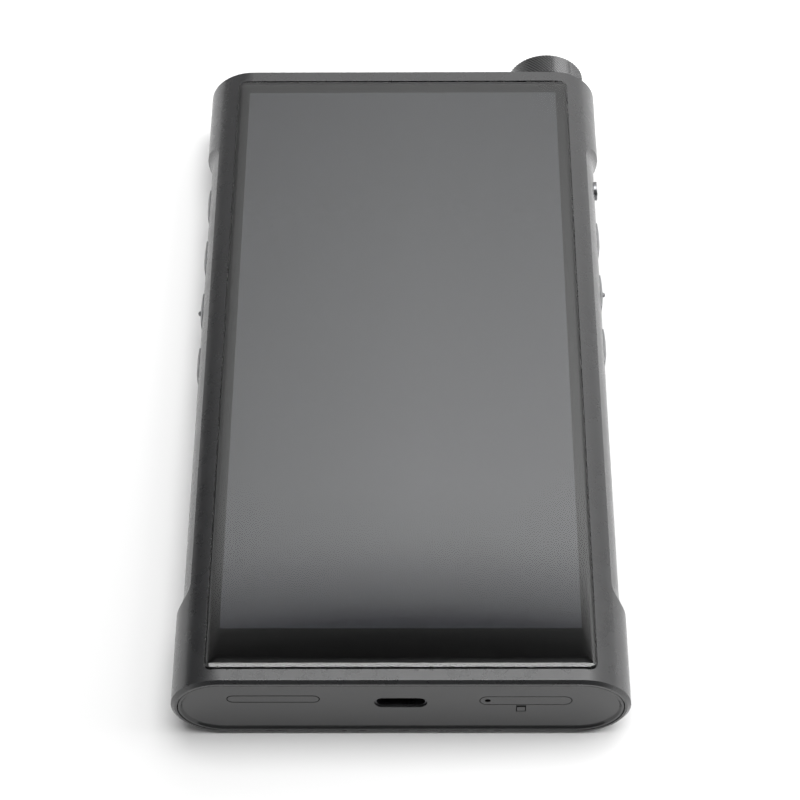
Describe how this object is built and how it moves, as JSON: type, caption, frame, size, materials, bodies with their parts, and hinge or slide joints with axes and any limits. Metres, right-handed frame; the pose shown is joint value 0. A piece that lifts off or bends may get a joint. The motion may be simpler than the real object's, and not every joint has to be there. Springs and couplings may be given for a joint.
{
  "type": "digital audio player",
  "caption": "Pocket music player: stadium-section metal tube with side grips, full-face glass screen, side keys, knurled volume knob, charging port and card tray.",
  "frame": {"origin": "middle of the flat back that the player rests on", "axes": "+X across the screen to the power-key side, +Y towards the knob and headphone sockets, +Z out of the screen"},
  "size_m": [0.0796, 0.1495, 0.0186],
  "materials": {
    "body_metal": "black anodised, fine bead-blasted satin",
    "cap_metal": "black anodised, fine bead-blasted satin",
    "key_metal": "dark anodised, polished",
    "power_metal": "dark grey anodised, turned face",
    "knob_metal": "black anodised, diamond knurl",
    "screen_glass": "clear polished cover glass with rounded edge",
    "back_panel": "black frosted panel",
    "display_black": "switched-off display, black",
    "gasket": "soft black foam",
    "plate_metal": "plain sheet",
    "steel": "plated",
    "brass": "turned",
    "battery_foil": "foil pouch",
    "circuit_board": "solder mask",
    "amber_flex": "polyimide ribbon",
    "pale_plastic": "moulded",
    "violet_plastic": "sleeved",
    "dark_plastic": "moulded"
  },
  "bodies": {
    "player": {"housing": "body_metal", "bottom_cap": "cap_metal", "top_cap": "cap_metal", "cover_glass": "screen_glass", "back_cover": "back_panel", "display_panel": "display_black", "glass_gasket": "gasket", "battery_foam": "gasket", "heat_pad": "gasket", "mid_plate": "plate_metal", "key_brackets": "plate_metal", "plate_screws": "steel", "cap_screws": "steel", "board_screws": "steel", "io_screws": "steel", "processor_shield": "steel", "audio_shield": "steel", "encoder_nut": "steel", "encoder_body": "steel", "usb_shell": "steel", "card_socket": "steel", "board_spacers": "brass", "io_pillars": "brass", "encoder_bush": "brass", "jack_rings": "brass", "battery": "battery_foil", "main_board": "circuit_board", "io_board": "circuit_board", "left_key_board": "circuit_board", "right_key_board": "circuit_board", "display_flex": "amber_flex", "link_flex": "amber_flex", "antenna": "amber_flex", "battery_pad": "pale_plastic", "left_switches": "pale_plastic", "right_switches": "pale_plastic", "audio_capacitors": "violet_plastic", "small_jack": "dark_plastic", "large_jack": "dark_plastic", "usb_tongue": "dark_plastic"},
    "knob": {"volume_knob": "knob_metal", "encoder_shaft": "steel"},
    "tray": {"card_tray": "cap_metal"},
    "function_button": {"function_button": "key_metal"},
    "previous_button": {"previous_button": "key_metal"},
    "play_button": {"play_button": "key_metal"},
    "next_button": {"next_button": "key_metal"},
    "power_button": {"power_button": "power_metal"},
    "volume_up_button": {"volume_up_button": "key_metal"},
    "select_button": {"select_button": "key_metal"},
    "volume_down_button": {"volume_down_button": "key_metal"}
  },
  "joints": [
    {"name": "knob_turn", "type": "hinge", "parent": "player", "child": "knob", "pos_m": [0.02985, 0.0718, 0.0091], "axis": [0, 1, 0], "continuous": true},
    {"name": "tray_slide", "type": "slide", "parent": "player", "child": "tray", "axis": [0, -1, 0], "range_m": [0, 0.02]},
    {"name": "function_press", "type": "slide", "parent": "player", "child": "function_button", "axis": [1, 0, 0], "range_m": [0, 0.0003], "stiffness_N_per_m": 600},
    {"name": "previous_press", "type": "slide", "parent": "player", "child": "previous_button", "axis": [1, 0, 0], "range_m": [0, 0.0003], "stiffness_N_per_m": 600},
    {"name": "play_press", "type": "slide", "parent": "player", "child": "play_button", "axis": [1, 0, 0], "range_m": [0, 0.0003], "stiffness_N_per_m": 600},
    {"name": "next_press", "type": "slide", "parent": "player", "child": "next_button", "axis": [1, 0, 0], "range_m": [0, 0.0003], "stiffness_N_per_m": 600},
    {"name": "power_press", "type": "slide", "parent": "player", "child": "power_button", "axis": [-1, 0, 0], "range_m": [0, 0.0003], "stiffness_N_per_m": 600},
    {"name": "volume_up_press", "type": "slide", "parent": "player", "child": "volume_up_button", "axis": [-1, 0, 0], "range_m": [0, 0.0003], "stiffness_N_per_m": 600},
    {"name": "select_press", "type": "slide", "parent": "player", "child": "select_button", "axis": [-1, 0, 0], "range_m": [0, 0.0003], "stiffness_N_per_m": 600},
    {"name": "volume_down_press", "type": "slide", "parent": "player", "child": "volume_down_button", "axis": [-1, 0, 0], "range_m": [0, 0.0003], "stiffness_N_per_m": 600}
  ]
}
